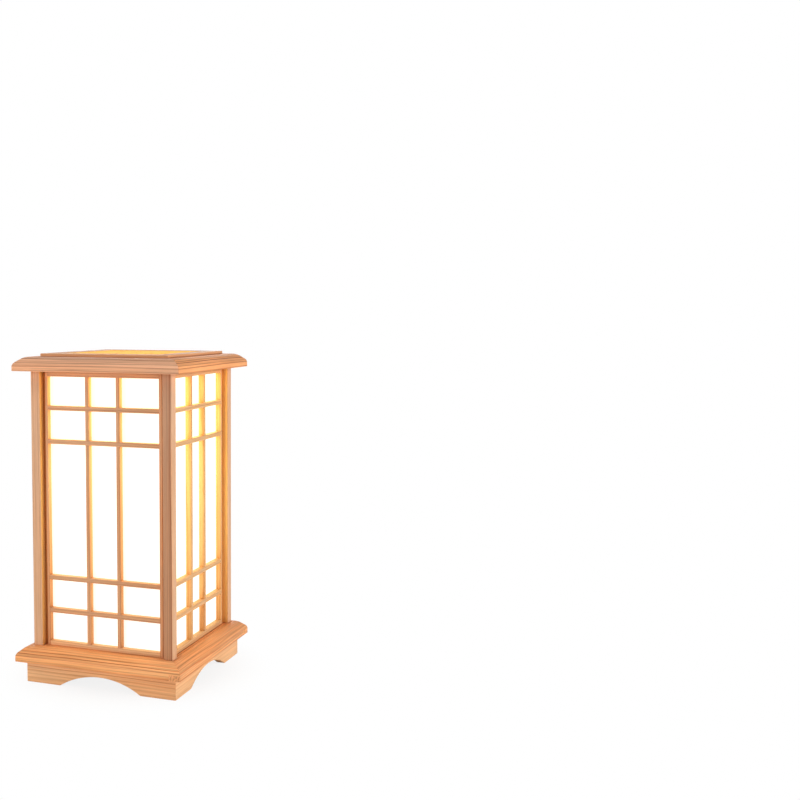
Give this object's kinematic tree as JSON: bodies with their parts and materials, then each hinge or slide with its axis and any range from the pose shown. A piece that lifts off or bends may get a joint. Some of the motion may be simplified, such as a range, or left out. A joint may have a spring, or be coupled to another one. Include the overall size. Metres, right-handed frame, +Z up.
{
  "type": "bedside lamp",
  "caption": "Square pine lantern with papered kumiko lattice sides, moulded cap and base on arched feet, and a lift-off translucent lid over a screw-in bulb.",
  "frame": {"origin": "on the table under the middle of the lamp", "axes": "+Z up, -Y to the front side, +X to the right side"},
  "size_m": [0.241, 0.241, 0.44],
  "materials": {
    "pine": "clear satin lacquer",
    "pine_base": "clear satin lacquer",
    "pine_bar": "clear satin lacquer",
    "plywood": "bare",
    "diffuser_sheet": "matt, lit from behind",
    "flecked_sheet": "matt with fibre flecks, lit from behind",
    "steel": "zinc plated",
    "brass": "plain",
    "black_plastic": "matt",
    "white_ceramic": "glazed",
    "frosted_glass": "frosted inside"
  },
  "bodies": {
    "lantern": {"skirt_front": "pine_base", "base_moulding_front": "pine_base", "cap_moulding_front": "pine", "front_stile_left": "pine_bar", "front_stile_right": "pine_bar", "front_top_rail": "pine_bar", "front_bottom_rail": "pine_bar", "front_lattice": "pine_bar", "front_diffuser": "diffuser_sheet", "board_screw_front": "steel", "skirt_right": "pine_base", "base_moulding_right": "pine_base", "cap_moulding_right": "pine", "right_stile_left": "pine_bar", "right_stile_right": "pine_bar", "right_top_rail": "pine_bar", "right_bottom_rail": "pine_bar", "right_lattice": "pine_bar", "right_diffuser": "diffuser_sheet", "board_screw_right": "steel", "skirt_back": "pine_base", "base_moulding_back": "pine_base", "cap_moulding_back": "pine", "back_stile_left": "pine_bar", "back_stile_right": "pine_bar", "back_top_rail": "pine_bar", "back_bottom_rail": "pine_bar", "back_lattice": "pine_bar", "back_diffuser": "diffuser_sheet", "board_screw_back": "steel", "skirt_left": "pine_base", "base_moulding_left": "pine_base", "cap_moulding_left": "pine", "left_stile_left": "pine_bar", "left_stile_right": "pine_bar", "left_top_rail": "pine_bar", "left_bottom_rail": "pine_bar", "left_lattice": "pine_bar", "left_diffuser": "diffuser_sheet", "board_screw_left": "steel", "post_front_left": "pine", "post_front_right": "pine", "post_back_right": "pine", "post_back_left": "pine", "bottom_board": "plywood", "cord_nipple": "steel", "nipple_nut": "steel", "cord_bush": "black_plastic", "holder_cap": "black_plastic", "holder_shell": "black_plastic", "holder_insert": "white_ceramic", "holder_contact": "brass"},
    "lid": {"lid_strip_front": "pine", "lid_strip_right": "pine", "lid_strip_back": "pine", "lid_strip_left": "pine", "lid_panel": "flecked_sheet"},
    "bulb": {"bulb_screw_cap": "brass", "bulb_glass": "frosted_glass"}
  },
  "joints": [
    {"name": "lid_lift", "type": "slide", "parent": "lantern", "child": "lid", "axis": [0, 0, 1], "range_m": [0, 0.12]},
    {"name": "bulb_turn", "type": "hinge", "parent": "lantern", "child": "bulb", "pos_m": [0, 0, 0.0584], "axis": [0, 0, 1], "range_deg": [0, 720]}
  ]
}
